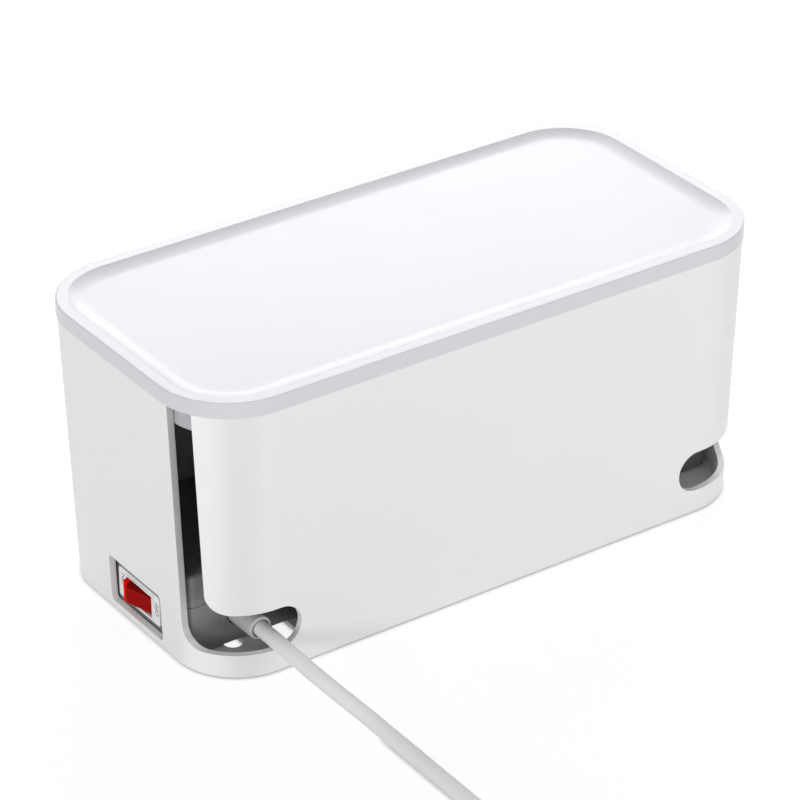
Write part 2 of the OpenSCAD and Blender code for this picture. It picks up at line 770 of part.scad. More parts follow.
// Rail with one clip for each outlet
module blade_rail(y) {
    rail(y, bar_w, 8);
    at_outlets() translate([0, y, bar_z - bar_t]) clip(clip_l);
}

module live_busbar() {
    color("goldenrod") blade_rail(blade_gap / 2);
}

module neutral_busbar() {
    color("goldenrod") blade_rail(-blade_gap / 2);
}

// Rail along the middle with a split tube for each ground pin
module earth_busbar() {
    color("goldenrod") {
        rail(0, bar_w - 1, ground_gap + 6);
        at_outlets() translate([ground_gap, 0, bar_z - bar_t]) difference() {
            cylinder(h = clip_h - 1, d = ground_tube_d);
            translate([0, 0, bar_t]) cylinder(h = clip_h, d = ground_tube_d - 2 * clip_t);
            translate([-ground_tube_d, -0.6, bar_t + 2]) cube([2 * ground_tube_d, 1.2, clip_h]);
        }
    }
}

// ---- wiring -------------------------------------------------------------------------------

module cord_clamp() {
    l = 2 * clamp_screw_x + 8;
    color("ivory") difference() {
        translate([cord_x - l / 2, clamp_y - clamp_w / 2, exit_z]) cube([l, clamp_w, clamp_h]);
        along_cord(clamp_y - clamp_w, clamp_y + clamp_w, cord_d);
        at_clamp_screws() translate([0, 0, exit_z - 1]) cylinder(h = clamp_h + 2, d = clamp_pilot_d + 0.6);
    }
}

module clamp_screws() {
    color("silver") at_clamp_screws() translate([0, 0, exit_z + clamp_h]) {
        difference() {
            cylinder(h = 2, d = 5);
            translate([0, 0, 1]) for (a = [0, 90]) rotate([0, 0, a])
                translate([-1.4, -0.35, 0]) cube([2.8, 0.7, 2]);
        }
        translate([0, 0, -clamp_screw_l]) cylinder(h = clamp_screw_l, d = clamp_pilot_d);
    }
}

// An insulated wire from a point at the cord's end or at the switch, along hand-laid steps
module wire(route) {
    swept(route, wire_d, 8);
}

module supply_wire() {
    a = [cord_x - wire_out, cord_start, exit_z + 1];
    b = [a[0], pivot_y - terminal_gap - terminal_t / 2, pivot_z];
    color("black") wire([a, a + [0, 3, 0], a + [0, 7, -2], b - [0, 4, 0], b]);
}

module switched_wire() {
    a = [terminal_end, pivot_y, pivot_z];
    b = [bar_start, strip_y + blade_gap / 2, bar_z + wire_d / 2];
    color("black") wire([a, a + [5, 0, 0], a + [9, 1.5, 2.5], b - [4, 0.5, 4], b - [1.5, 0, 0.5],
                         b + [0.5, 0, 0], b + [4, 0, 0]]);
}

module neutral_wire() {
    a = [cord_x + wire_out, cord_start, exit_z + 1];
    b = [bar_start, strip_y - blade_gap / 2, bar_z + wire_d / 2];
    color("white") wire([a, a + [0, 3, 0], a + [3.5, 7.5, 1.4], b - [5, 1.5, 1.2], b - [1.5, 0, 0.1],
                        b + [0.5, 0, 0], b + [4, 0, 0]]);
}

module earth_wire() {
    a = [cord_x, cord_start, exit_z - wire_out];
    b = [bar_start, strip_y, bar_z + wire_d / 2];
    color("green") wire([a, a + [0, 3, 0], a + [5.6, 8, -4], a + [10, 14, -3], b - [4, 1, 6], b - [1.5, 0, 0.5],
                          b + [0.5, 0, 0], b + [4, 0, 0]]);
}

// Wire from the lamp's terminal to the underside of the neutral busbar
module lamp_wire() {
    a = [terminal_end, pivot_y + terminal_gap, pivot_z];
    b = [bar_start, strip_y - blade_gap / 2, bar_z - bar_t - wire_d / 2];
    color("white") wire([a, a + [4.5, 0, 0], a + [9, -2, -3], a + [12.5, -7, -5], b - [1.5, -3.5, 9], b - [1, -0.5, 4],
                         b + [1, 0, 0], b + [4, 0, 0]]);
}

// ---- cord and plug ------------------------------------------------------------------------

// Tapered grommet: a flange behind the wall, a neck through it and a sleeve outside
module strain_relief() {
    wall = relief_flange_t + shell_t;
    tip = wall + relief_l;
    bore = cord_d / 2;
    neck_r = bore + relief_neck;
    color("lightgray") translate([cord_x, strip_front + wall, exit_z]) rotate([90, 0, 0]) rotate_extrude()
        polygon(concat(
            [[bore, 0], [bore + relief_flange, 0], [bore + relief_flange, relief_flange_t]],
            [[neck_r, relief_flange_t], [neck_r, wall], [relief_d / 2, wall]],
            arc([relief_tip_d / 2 - 0.8, tip - 0.8], 0.8, 0, 90, 3),
            [[bore + 0.5, tip], [bore + 0.5, tip - 2.5], [bore, tip - 3]]));
}

module power_cord() {
    inside = [[cord_x, cord_start, exit_z], [cord_x, strip_front - 4, exit_z]];
    color("gainsboro") swept(concat(inside, cord_points), cord_d, 12);
}

// The wound turns of the cord, three layers of two
module cord_coil() {
    high = coil_layers * cord_d;
    r = coil_edge_r;
    color("gainsboro") translate([coil_at[0], coil_at[1], 0]) rotate_extrude($fn = 64)
        polygon(concat(
            arc([coil_r + cord_d - r, r], r, -90, 0, 3),
            arc([coil_r + cord_d - r, high - r], r, 0, 90, 3),
            arc([coil_r - cord_d + r, high - r], r, 90, 180, 3),
            arc([coil_r - cord_d + r, r], r, 180, 270, 3)));
}

module cord_tail() {
    color("gainsboro") swept(tail_points, cord_d, 12);
}

// Hook-and-loop strap pulled tight round the coil's turns
module cord_tie() {
    high = coil_layers * cord_d + tie_t;
    color("dimgray") translate([coil_at[0], coil_at[1], 0]) rotate([0, 0, 55]) rotate([90, 0, 0])
        translate([coil_r, high / 2, -tie_w / 2]) linear_extrude(tie_w) difference() {
            rounded_plan(2 * (cord_d + tie_t), high, coil_edge_r + tie_t);
            rounded_plan(2 * cord_d, high - 2 * tie_t, coil_edge_r);
        }
}

// Moulded plug, its own Z pointing the way the blades point
module plug_body() {
    color("gainsboro") translate(plug_at) rotate([-90, 0, 0]) {
        rotate_extrude()
            polygon([[0, 0], [cord_d / 2 + 1, 0], [cord_d / 2 + 3.6, plug_relief_l], [0, plug_relief_l]]);
        translate([0, 0, plug_relief_l - 1]) difference() {
            hull() {
                linear_extrude(1) rounded_plan(15, 14, 5, $fn = 32);
                translate([0, 0, 9]) linear_extrude(1) rounded_plan(plug_w - 3, plug_h - 3, 6, $fn = 32);
                translate([0, 0, plug_body_l - 3]) linear_extrude(1) rounded_plan(plug_w, plug_h, 6, $fn = 32);
                translate([0, 0, plug_body_l - 1]) linear_extrude(1) rounded_plan(plug_w - 2, plug_h - 2, 5, $fn = 32);
            }
            // finger grooves on both sides
            for (s = [-1, 1], i = [0:3])
                translate([s * (plug_w / 2 + 0.1), 0, 13 + 4 * i]) cube([1.8, 13, 1.8], center = true);
        }
    }
}

module plug_blades() {
    color("silver") for (s = [-1, 1])
        translate(plug_front + [s * blade_gap / 2 - blade_t / 2, -pin_root, -blade_drop - blade_w / 2]) difference() {
            cube([blade_t, blade_l + pin_root, blade_w]);
            translate([-1, blade_l + pin_root - 3.5, blade_w / 2]) rotate([0, 90, 0]) cylinder(h = 4, d = 3);
        }
}

module plug_ground_pin() {
    color("silver") translate(plug_front + [0, -pin_root, ground_gap - blade_drop]) rotate([-90, 0, 0]) {
        cylinder(h = pin_root + pin_l - pin_d / 2, d = pin_d);
        translate([0, 0, pin_root + pin_l - pin_d / 2]) sphere(d = pin_d);
    }
}

box_body();
lid();
rubber_feet();
strip_base();
strip_cover();
strip_screws();
housing_screws();
switch_frame();
switch_rocker();
switch_plunger();
switch_spring();
switch_contact();
switch_terminals();
neon_lamp();
live_busbar();
neutral_busbar();
earth_busbar();
cord_clamp();
clamp_screws();
supply_wire();
switched_wire();
neutral_wire();
earth_wire();
lamp_wire();
strain_relief();
power_cord();
cord_coil();
cord_tail();
cord_tie();
plug_body();
plug_blades();
plug_ground_pin();
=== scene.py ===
import json
from math import cos, pi, radians, sin

import bpy
from mathutils import Matrix, Vector


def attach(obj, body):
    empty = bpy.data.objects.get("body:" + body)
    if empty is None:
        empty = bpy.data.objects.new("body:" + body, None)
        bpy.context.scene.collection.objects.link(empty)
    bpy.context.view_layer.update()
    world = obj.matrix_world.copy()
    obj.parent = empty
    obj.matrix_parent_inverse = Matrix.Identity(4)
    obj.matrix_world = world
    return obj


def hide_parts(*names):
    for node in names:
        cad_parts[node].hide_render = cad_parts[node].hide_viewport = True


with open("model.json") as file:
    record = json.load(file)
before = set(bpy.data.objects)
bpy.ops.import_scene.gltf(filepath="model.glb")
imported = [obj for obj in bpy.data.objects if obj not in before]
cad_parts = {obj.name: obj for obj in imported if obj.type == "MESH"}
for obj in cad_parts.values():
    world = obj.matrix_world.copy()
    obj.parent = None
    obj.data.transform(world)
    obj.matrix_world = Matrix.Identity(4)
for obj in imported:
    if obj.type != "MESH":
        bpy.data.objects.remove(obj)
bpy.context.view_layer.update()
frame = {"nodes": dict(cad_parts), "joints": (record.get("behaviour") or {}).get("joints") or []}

nodes = frame["nodes"]
scene = bpy.context.scene
scene.view_settings.view_transform = "Standard"


# ---- camera --------------------------------------------------------------------------------
# A long lens, thirty degrees above the desk, that looks along the box from its switch end.
# The frame is square, so the lens is worked out for 800 x 800.
azimuth, elevation, roll = -0.603867, 0.519759, -0.005428
distance = 1.834565
lens_px = 3855.864
aim = Vector((-0.004068, -0.000465, 0.0706))
back = Vector((sin(azimuth) * cos(elevation), -cos(azimuth) * cos(elevation), sin(elevation)))
level = Vector((cos(azimuth), sin(azimuth), 0))
right = level * cos(roll) + back.cross(level) * sin(roll)
sensor_mm, frame_px = 36, 800
camera = bpy.data.objects.new("camera", bpy.data.cameras.new("camera"))
camera.data.sensor_width = sensor_mm
camera.data.lens = lens_px * sensor_mm / frame_px
camera.data.clip_start = 0.1
camera.data.clip_end = 100
camera.matrix_world = Matrix.Translation(aim + distance * back) @ Matrix(
    (right, back.cross(right), back)).transposed().to_4x4()
scene.collection.objects.link(camera)
scene.camera = camera


# ---- desk and lamps ------------------------------------------------------------------------
# A plain white desk in a white room. The soft lamps behind the box and off its far end rake the
# tray and are mirrored in it, and those at the front and the switch end light its walls.
def shader_node(tree, kind, **constants):
    """A node of a material or group, with its constants set on its own sockets."""
    n = tree.nodes.new(kind)
    for name, value in constants.items():
        n.inputs[name.replace("_", " ")].default_value = value
    return n


def number_node(tree, operation, a=None, b=None, c=None):
    """A Math node: each of a, b and c is a number or the output that feeds it."""
    n = tree.nodes.new("ShaderNodeMath")
    n.operation = operation
    for socket, value in zip(n.inputs, (a, b, c)):
        if isinstance(value, (int, float)):
            socket.default_value = value
        elif value is not None:
            tree.links.new(value, socket)
    return n.outputs[0]


def ramp(tree, value, start, end, low, high):
    """Runs smoothly from low to high while a value output goes from start to end."""
    n = tree.nodes.new("ShaderNodeMapRange")
    n.interpolation_type = "SMOOTHSTEP"
    tree.links.new(value, n.inputs["Value"])
    for socket, bound in (("From Min", start), ("From Max", end), ("To Min", low), ("To Max", high)):
        n.inputs[socket].default_value = bound
    return n.outputs["Result"]


def background_rays(tree):
    """1 for the rays that see the room: from the camera, through glass and off polished faces."""
    rays = tree.nodes.new("ShaderNodeLightPath")
    camera_ray, through, mirrored = (rays.outputs[f"Is {kind} Ray"]
                                     for kind in ("Camera", "Transmission", "Glossy"))
    return number_node(tree, "MAXIMUM", number_node(tree, "MAXIMUM", camera_ray, through), mirrored)


def mixed(tree, amount, first, second, out):
    """The first and second shader by an amount, into the output node."""
    mix = tree.nodes.new("ShaderNodeMixShader")
    tree.links.new(amount, mix.inputs[0])
    tree.links.new(first.outputs[0], mix.inputs[1])
    tree.links.new(second.outputs[0], mix.inputs[2])
    tree.links.new(mix.outputs[0], tree.nodes.new(out).inputs[0])


white = (1, 1, 1, 1)
room_light, room_white = 0.5, 1.0
room = bpy.data.worlds.new("room")
room.use_nodes = True
scene.world = room
tree = room.node_tree
tree.nodes.clear()
mixed(tree, background_rays(tree),
      shader_node(tree, "ShaderNodeBackground", Color=white, Strength=room_light),
      shader_node(tree, "ShaderNodeBackground", Color=white, Strength=room_white),
      "ShaderNodeOutputWorld")

desk_half = 6
desk_mesh = bpy.data.meshes.new("desk")
desk_mesh.from_pydata([(-desk_half, -desk_half, 0), (desk_half, -desk_half, 0),
                       (desk_half, desk_half, 0), (-desk_half, desk_half, 0)], [], [(0, 1, 2, 3)])
desk = bpy.data.objects.new("desk", desk_mesh)
scene.collection.objects.link(desk)
desk_paint = bpy.data.materials.new("desk_paint")
desk_paint.use_nodes = True
tree = desk_paint.node_tree
tree.nodes.clear()
desk_colour = (0.87, 0.87, 0.87, 1)
desk_white, desk_share = 1.07, 0.84
# an occlusion mask takes the desk's white glow out of the narrow spaces that the box and the cord leave
# over the desk, a painted contact shade through which the desk's own shadow shows
gap_reach = 0.002
painted_contact_shade = shader_node(tree, "ShaderNodeAmbientOcclusion", Distance=gap_reach)
painted_contact_shade.samples = 4
open_desk = number_node(tree, "MULTIPLY", painted_contact_shade.outputs["AO"], desk_share)
mixed(tree, number_node(tree, "MULTIPLY", background_rays(tree), open_desk),
      shader_node(tree, "ShaderNodeBsdfDiffuse", Color=desk_colour),
      shader_node(tree, "ShaderNodeEmission", Color=white, Strength=desk_white),
      "ShaderNodeOutputMaterial")
desk_mesh.materials.append(desk_paint)


box_middle = Vector((0, 0, 0.08))


def soft_lamp(name, place, width, height, watts):
    """A flat lamp with a white diffuser, turned to the middle of the box."""
    data = bpy.data.lights.new(name, "AREA")
    data.shape = "RECTANGLE"
    data.size = width
    data.size_y = height
    data.energy = watts
    lamp = bpy.data.objects.new(name, data)
    lamp.location = place
    lamp.rotation_euler = (box_middle - Vector(place)).to_track_quat("-Z", "Y").to_euler()
    scene.collection.objects.link(lamp)


soft_lamp("rear_lamp", (1.3, 2.2, 1.3), 1.2, 0.8, 14.5)
soft_lamp("high_rear_lamp", (1.0, 1.6, 2.0), 1.4, 1.0, 8.2)
soft_lamp("low_rear_lamp", (1.3, 2.4, 0.55), 1.0, 0.5, 4.4)
soft_lamp("high_end_lamp", (2.1, 1.5, 1.3), 1.0, 0.6, 7)
soft_lamp("low_end_lamp", (2.3, 1.5, 0.65), 1.0, 0.6, 5.6)
soft_lamp("front_lamp", (0.9, -2.6, 0.35), 1.6, 0.6, 16.8)
soft_lamp("switch_end_lamp", (-2.6, -1.3, 0.9), 0.7, 0.7, 24)


# ---- box body ------------------------------------------------------------------------------
# The tapered tub of the box, injection moulded in white ABS with a fine spark-eroded finish.
# The two cable slots and the switch window are moulded in, and their edges are broken.
def new_group(name, inputs, outputs):
    """A node group with named sockets, and its input and output nodes."""
    group = bpy.data.node_groups.new(name, "ShaderNodeTree")
    for side, sockets in (("INPUT", inputs), ("OUTPUT", outputs)):
        for socket in sockets:
            kind = "NodeSocketColor" if socket == "Colour" else "NodeSocketFloat"
            group.interface.new_socket(socket, in_out=side, socket_type=kind)
    return group, group.nodes.new("NodeGroupInput"), group.nodes.new("NodeGroupOutput")


def toned(tree, colour, amount):
    """A colour output made lighter or darker by an amount output, where 1 leaves it as it is."""
    scale = tree.nodes.new("ShaderNodeVectorMath")
    scale.operation = "SCALE"
    tree.links.new(colour, scale.inputs[0])
    tree.links.new(amount, scale.inputs["Scale"])
    return scale.outputs[0]


def either_side(tree, pattern, amount, middle):
    """A pattern of 0 to 1 turned into a middle value with an amount to either side."""
    return number_node(tree, "MULTIPLY_ADD", number_node(tree, "SUBTRACT", pattern, 0.5), amount, middle)


# Moulded skin: spark-eroded grain, the slow drift of tone where the melt ran, and faint
# marks of handling that change the gloss
moulded_skin, given, result = new_group(
    "moulded_skin", ("Colour", "Roughness", "Grain size", "Drift", "Handling"),
    ("Colour", "Roughness", "Height"))
tree = moulded_skin
place = tree.nodes.new("ShaderNodeTexCoord").outputs["Object"]
grain = shader_node(tree, "ShaderNodeTexNoise", Detail=3.0, Roughness=0.6)
flow = shader_node(tree, "ShaderNodeTexNoise", Scale=14.0, Detail=2.0, Roughness=0.5, Distortion=0.6)
smudge = shader_node(tree, "ShaderNodeTexNoise", Scale=45.0, Detail=4.0, Roughness=0.7)
for pattern in (grain, flow, smudge):
    tree.links.new(place, pattern.inputs["Vector"])
tree.links.new(given.outputs["Grain size"], grain.inputs["Scale"])
drifted = either_side(tree, flow.outputs["Fac"], given.outputs["Drift"], 1.0)
tree.links.new(toned(tree, given.outputs["Colour"], drifted), result.inputs["Colour"])
smudged = either_side(tree, smudge.outputs["Fac"], given.outputs["Handling"], given.outputs["Roughness"])
grain_gloss = 0.1
tree.links.new(either_side(tree, grain.outputs["Fac"], grain_gloss, smudged), result.inputs["Roughness"])
tree.links.new(grain.outputs["Fac"], result.inputs["Height"])


def finish_from(name, group, relief, relief_depth, values, **shader):
    """A finish: a group with its own values, its height as bump, and constants on the shader."""
    paint = bpy.data.materials.new(name)
    paint.use_nodes = True
    tree = paint.node_tree
    principled = tree.nodes["Principled BSDF"]
    for socket, value in shader.items():
        principled.inputs[socket.replace("_", " ")].default_value = value
    skin = tree.nodes.new("ShaderNodeGroup")
    skin.node_tree = group
    for socket, value in values.items():
        skin.inputs[socket].default_value = (*value, 1) if socket == "Colour" else value
    bump = shader_node(tree, "ShaderNodeBump", Strength=relief, Distance=relief_depth)
    tree.links.new(skin.outputs["Colour"], principled.inputs["Base Color"])
    tree.links.new(skin.outputs["Roughness"], principled.inputs["Roughness"])
    tree.links.new(skin.outputs["Height"], bump.inputs["Height"])
    tree.links.new(bump.outputs["Normal"], principled.inputs["Normal"])
    return paint


def moulded(name, colour, roughness, grain_size=1500, grain=0.08, drift=0.012, handling=0.06, **shader):
    """A moulded plastic or rubber, with its grain at most 0.1 mm deep."""
    return finish_from(name, moulded_skin, grain, 0.0001,
                       {"Colour": colour, "Roughness": roughness, "Grain size": grain_size,
                        "Drift": drift, "Handling": handling}, **shader)


def retone(paint, amount_from):
    """Tones a finish by an amount, worked out from the X, Y and Z of a place on the piece."""
    tree = paint.node_tree
    place = tree.nodes.new("ShaderNodeSeparateXYZ")
    tree.links.new(tree.nodes.new("ShaderNodeTexCoord").outputs["Object"], place.inputs[0])
    colour = tree.nodes["Principled BSDF"].inputs["Base Color"]
    tree.links.new(toned(tree, colour.links[0].from_socket, amount_from(tree, *place.outputs)), colour)


def facing(tree):
    """The X, Y and Z of the direction in which a place on the piece faces."""
    direction = tree.nodes.new("ShaderNodeSeparateXYZ")
    tree.links.new(tree.nodes.new("ShaderNodeTexCoord").outputs["Normal"], direction.inputs[0])
    return direction.outputs


def dress(piece, paint):
    """Gives a piece of the frame its finish."""
    mesh = nodes[piece].data
    mesh.materials.clear()
    mesh.materials.append(paint)


def break_edges(piece, width, sharper_than=40, segments=2):
    """Rounds the sharp edges of a moulded piece by a small width."""
    bevel = nodes[piece].modifiers.new("broken_edges", "BEVEL")
    bevel.width = width
    bevel.segments = segments
    bevel.limit_method = "ANGLE"
    bevel.angle_limit = radians(sharper_than)
    bevel.use_clamp_overlap = True
    bevel.harden_normals = True


box_plastic = moulded("box_plastic", (0.87, 0.87, 0.87), 0.4)
# the box's white carries painted light: a highlight and a shade band round the near corner, and painted
# shade on the slots' cut faces
slot_middle, slot_half = -0.051, 0.007
corner_painted_highlight, corner_painted_shade, cut_painted_shade = 0.12, 0.078, 0.32
# how far a face turns to the switch end, where the corner's painted highlight starts and is strongest, and
# where the painted shade band next to the front wall starts and ends
painted_highlight_turn, painted_shade_from, painted_shade_to = (0.6, 0.92), (0.08, 0.42), (0.5, 0.72)
# how far a face turns to the front, where it counts as part of the corner or as a cut face
corner_turn, cut_turn = (-0.02, -0.3), (-0.5, -0.9)


def wall_painted_light(tree, x, y, z):
    """Painted highlight and shade round the front corner at the switch end, and painted shade on the
    slots' cuts.
    """
    face = facing(tree)
    to_end = number_node(tree, "MULTIPLY", face["X"], -1)
    lift = ramp(tree, to_end, *painted_highlight_turn, 0, corner_painted_highlight)
    dip = number_node(tree, "MULTIPLY", ramp(tree, to_end, *painted_shade_from, 0, corner_painted_shade),
                      ramp(tree, to_end, *painted_shade_to, 1, 0))
    corner = number_node(tree, "MULTIPLY", number_node(tree, "SUBTRACT", lift, dip),
                         ramp(tree, face["Y"], *corner_turn, 0, 1))
    in_slot = number_node(tree, "COMPARE", y, slot_middle, slot_half)
    cut = number_node(tree, "MULTIPLY", ramp(tree, face["Y"], *cut_turn, 0, cut_painted_shade), in_slot)
    return number_node(tree, "SUBTRACT", number_node(tree, "ADD", corner, 1), cut)


# paint the corner's highlight and shade, and the shade on the slots' cuts, into the box's white
retone(box_plastic, wall_painted_light)
dress("box_body", box_plastic)
break_edges("box_body", 0.0005)


# ---- rubber feet ---------------------------------------------------------------------------
# Four round pads die-cut from black rubber sheet, glued into shallow recesses in the floor.
foot_rubber = moulded("foot_rubber", (0.03, 0.03, 0.031), 0.85, grain_size=2200, grain=0.5, drift=0.2)
dress("rubber_feet", foot_rubber)


# ---- strip base ----------------------------------------------------------------------------
# The lower housing of the power strip, moulded in mid grey ABS. Four screws through the box's
# floor hold it, and a collar round the cord's exit stiffens its front wall.
strip_plastic = moulded("strip_plastic", (0.24, 0.24, 0.24), 0.5, grain_size=1100, grain=0.2, drift=0.05)
dress("strip_base", strip_plastic)
break_edges("strip_base", 0.0003)

# Turned or drawn steel and stamped brass: fine lines from the tool, with a slow tarnish
worked_metal, given, result = new_group(
    "worked_metal", ("Colour", "Roughness", "Line size", "Tarnish"),
    ("Colour", "Roughness", "Height"))
tree = worked_metal
place = tree.nodes.new("ShaderNodeTexCoord").outputs["Object"]
stretch = tree.nodes.new("ShaderNodeMapping")
stretch.inputs["Scale"].default_value = (0.04, 1, 1)
tree.links.new(place, stretch.inputs["Vector"])
lines = shader_node(tree, "ShaderNodeTexNoise", Detail=2.0, Roughness=0.7)
tree.links.new(stretch.outputs["Vector"], lines.inputs["Vector"])
tree.links.new(given.outputs["Line size"], lines.inputs["Scale"])
stain = shader_node(tree, "ShaderNodeTexNoise", Scale=160.0, Detail=4.0, Roughness=0.65, Distortion=1.2)
tree.links.new(place, stain.inputs["Vector"])
tarnish = number_node(tree, "MULTIPLY", number_node(tree, "POWER", stain.outputs["Fac"], 2.0),
                      given.outputs["Tarnish"])
tree.links.new(toned(tree, given.outputs["Colour"], number_node(tree, "SUBTRACT", 1.0, tarnish)),
               result.inputs["Colour"])
tarnish_gloss, line_gloss = 0.6, 0.16
dulled = number_node(tree, "MULTIPLY_ADD", tarnish, tarnish_gloss, given.outputs["Roughness"])
tree.links.new(either_side(tree, lines.outputs["Fac"], line_gloss, dulled), result.inputs["Roughness"])
tree.links.new(lines.outputs["Fac"], result.inputs["Height"])


def metal(name, colour, roughness, line_size=3000, relief=0.15, tarnish=0.3):
    """A bare or plated metal."""
    return finish_from(name, worked_metal, relief, 0.00005,
                       {"Colour": colour, "Roughness": roughness, "Line size": line_size,
                        "Tarnish": tarnish}, Metallic=1.0)


# Pan-head screws of zinc-plated steel, with a cross in the head
zinc_steel = metal("zinc_steel", (0.62, 0.63, 0.65), 0.32)
dress("strip_screws", zinc_steel)


# ---- busbars -------------------------------------------------------------------------------
# Three rails stamped from half-hard brass strip, with a sprung clip for each blade and a split
# tube for each ground pin. They drop onto seats in the base.
brass = metal("brass", (0.80, 0.56, 0.22), 0.28, tarnish=0.45)
for rail in ("live_busbar", "neutral_busbar", "earth_busbar"):
    dress(rail, brass)


# ---- switch frame and lettering ------------------------------------------------------------
# The switch's frame, moulded in white nylon, snaps into the end wall of the strip. ON and OFF
# are pad printed in grey on its plate, at either end of the rocker.
switch_plastic = moulded("switch_plastic", (0.88, 0.88, 0.885), 0.3, drift=0.008, handling=0.04)
dress("switch_frame", switch_plastic)
break_edges("switch_frame", 0.0003)

printing_ink = moulded("printing_ink", (0.12, 0.12, 0.125), 0.5, grain_size=4000, drift=0.3)
bezel_out = 0.0006
ink_film = 0.00003
print_face = min(v.co.x for v in nodes["switch_frame"].data.vertices) + bezel_out - ink_film
# height of a capital, and the share of the type's size that it takes
capital, capital_share = 0.0029, 0.7
for word, y, z in (("OFF", -0.01915, 0.0162), ("ON", 0.0106, 0.0174)):
    letters = bpy.data.curves.new("print_" + word.lower(), "FONT")
    letters.body = word
    letters.size = capital / capital_share
    letters.align_x = "CENTER"
    letters.extrude = ink_film
    letters.resolution_u = 4
    letters.materials.append(printing_ink)
    print_piece = bpy.data.objects.new("print_" + word.lower(), letters)
    # the line reads upwards: letters run along +Z, their tops to +Y, and face -X
    print_piece.matrix_world = Matrix.Translation((print_face, y, z)) @ Matrix(
        ((0, 0, -1), (0, 1, 0), (1, 0, 0))).to_4x4()
    scene.collection.objects.link(print_piece)
    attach(print_piece, "box")


# ---- switch terminals and contact ----------------------------------------------------------
# Three brass tabs pressed through the back of the frame, and a see-saw of silvered brass that
# rocks on the middle one and closes on the first.
dress("switch_terminals", brass)
dress("switch_contact", metal("silvered_brass", (0.83, 0.80, 0.72), 0.25, tarnish=0.25))


# ---- rocker, plunger and spring ------------------------------------------------------------
# The rocker is moulded in see-through red polycarbonate round a hollow. Its face is deep red; faces that
# turn up are painted darker as shade, and its raised end and its lower bevel are painted bright as a glow.
rocker_red = moulded("rocker_red", (0.95, 0.004, 0.003), 0.14, grain_size=900, drift=0.1, handling=0.12,
                     IOR=1.58, Specular_IOR_Level=0.02)
rocker_turn = next(joint for joint in frame["joints"] if joint["name"] == "rocker_turn")
pivot = Vector(rocker_turn["pos_m"])
tilt = radians(rocker_turn["range_deg"][1] / 2)
# the face's own tone, and the darker painted shade on faces that turn up
face_tone, top_painted_shade = 0.36, 0.2
# how far a face turns up or down, from where it starts to count as a bevel to where it is one
bevel_turn = 0.3, 0.6
# distance along the rocker from its pivot, over which the painted glow of the raised end and the lower
# bevel comes in
end_painted_glow, bevel_painted_glow = (0.0058, 0.0084), (-0.006, 0.004)


def rocker_painted_glow(tree, x, y, z):
    """The tone of each place on the rocker: a painted glow at its raised end and lower bevel, painted
    shade where it faces up.
    """
    across = number_node(tree, "MULTIPLY", number_node(tree, "SUBTRACT", pivot.x, x), sin(tilt))
    along = number_node(tree, "MULTIPLY_ADD", number_node(tree, "SUBTRACT", y, pivot.y), cos(tilt), across)
    upward = facing(tree)["Z"]
    face = ramp(tree, upward, *bevel_turn, face_tone, top_painted_shade)
    raised_end = ramp(tree, along, *end_painted_glow, 0, 1)
    turned_down = ramp(tree, upward, -bevel_turn[0], -bevel_turn[1], 0, 1)
    lower_bevel = number_node(tree, "MULTIPLY", turned_down, ramp(tree, along, *bevel_painted_glow, 0, 1))
    return number_node(tree, "MAXIMUM", face, number_node(tree, "MAXIMUM", raised_end, lower_bevel))


# paint the glow and the shade into the rocker's red
retone(rocker_red, rocker_painted_glow)
dress("switch_rocker", rocker_red)
break_edges("switch_rocker", 0.00025)

# The plunger and its spring sit in a bore of the rocker and tip the contact
nylon = moulded("natural_nylon", (0.80, 0.77, 0.68), 0.38, Subsurface_Weight=0.15, Subsurface_Scale=0.002)
dress("switch_plunger", nylon)
dress("switch_spring", zinc_steel)


# ---- glow lamp -----------------------------------------------------------------------------
# A small neon lamp under the rocker, held by its ends in two sockets of the frame. Its glass is
# faintly browned.
lamp_glass = bpy.data.materials.new("lamp_glass")
lamp_glass.use_nodes = True
tree = lamp_glass.node_tree
principled = tree.nodes["Principled BSDF"]
principled.inputs["Transmission Weight"].default_value = 0.9
principled.inputs["IOR"].default_value = 1.5
haze = shader_node(tree, "ShaderNodeTexNoise", Scale=900.0, Detail=2.0)
haze_gloss = 0.08, 0.02
tree.links.new(number_node(tree, "MULTIPLY_ADD", haze.outputs["Fac"], *haze_gloss),
               principled.inputs["Roughness"])
soot = shader_node(tree, "ShaderNodeValToRGB")
soot.color_ramp.elements[0].color = (0.9, 0.62, 0.42, 1)
soot.color_ramp.elements[1].color = (1.0, 0.9, 0.8, 1)
tree.links.new(haze.outputs["Fac"], soot.inputs["Fac"])
tree.links.new(soot.outputs["Color"], principled.inputs["Base Color"])
dress("neon_lamp", lamp_glass)


# ---- wiring --------------------------------------------------------------------------------
# PVC-insulated wires from the cord to the switch and the rails, black for live, white for
# neutral and green for earth.
wire_colours = {"black": (0.012, 0.012, 0.013), "white": (0.75, 0.75, 0.73), "green": (0.02, 0.22, 0.05)}
insulation = {name: moulded("wire_" + name, colour, 0.35, grain_size=3500, drift=0.1)
              for name, colour in wire_colours.items()}
for wire, colour in (("supply_wire", "black"), ("switched_wire", "black"), ("neutral_wire", "white"),
                     ("lamp_wire", "white"), ("earth_wire", "green")):
    dress(wire, insulation[colour])


# ---- strain relief and cord clamp ----------------------------------------------------------
# A tapered sleeve of soft grey PVC, pushed through the strip's wall from inside. Behind it two
# screws draw a nylon bridge onto the cord.
relief_pvc = moulded("relief_pvc", (0.56, 0.56, 0.565), 0.55, grain_size=1800, grain=0.2, drift=0.06)
dress("strain_relief", relief_pvc)
cord_exit = Vector((-0.1246, -0.0565, 0.0196))
mouth_r, mouth_edge, mouth_tone = 0.0044, 0.0001, 0.1


